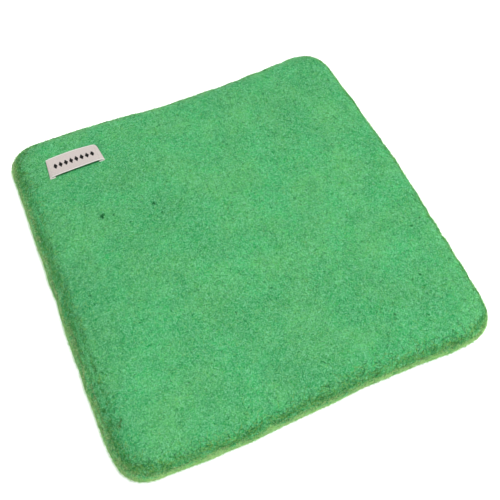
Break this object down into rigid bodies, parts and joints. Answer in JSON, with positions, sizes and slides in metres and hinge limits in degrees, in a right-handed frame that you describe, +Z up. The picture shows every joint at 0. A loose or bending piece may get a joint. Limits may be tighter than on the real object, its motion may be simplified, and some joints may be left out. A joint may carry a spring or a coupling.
{
  "type": "needle felting mat",
  "caption": "Thick square mat of felted wool with soft rounded edges and corners, laid flat as the springy base that felting needles are pushed into.",
  "frame": {"origin": "middle of the underside, where the mat rests on a table", "axes": "+X along the label, left edge to right edge; +Y to the back edge, the one by the label; +Z up out of the top face"},
  "size_m": [0.2574, 0.2572, 0.0245],
  "materials": {
    "green_felt": "matte dyed wool felt, fuzzy",
    "carded_wool": "matte undyed carded wool",
    "woven_tape": "fine woven ribbon, satin",
    "label_thread": "twisted sewing thread"
  },
  "bodies": {
    "root": {"bottom_felt_cover": "green_felt", "top_felt_cover": "green_felt", "core_batt_1": "carded_wool", "core_batt_2": "carded_wool", "core_batt_3": "carded_wool", "core_batt_4": "carded_wool", "core_batt_5": "carded_wool", "core_batt_6": "carded_wool", "woven_label": "woven_tape", "left_label_thread": "label_thread", "right_label_thread": "label_thread"}
  },
  "joints": []
}
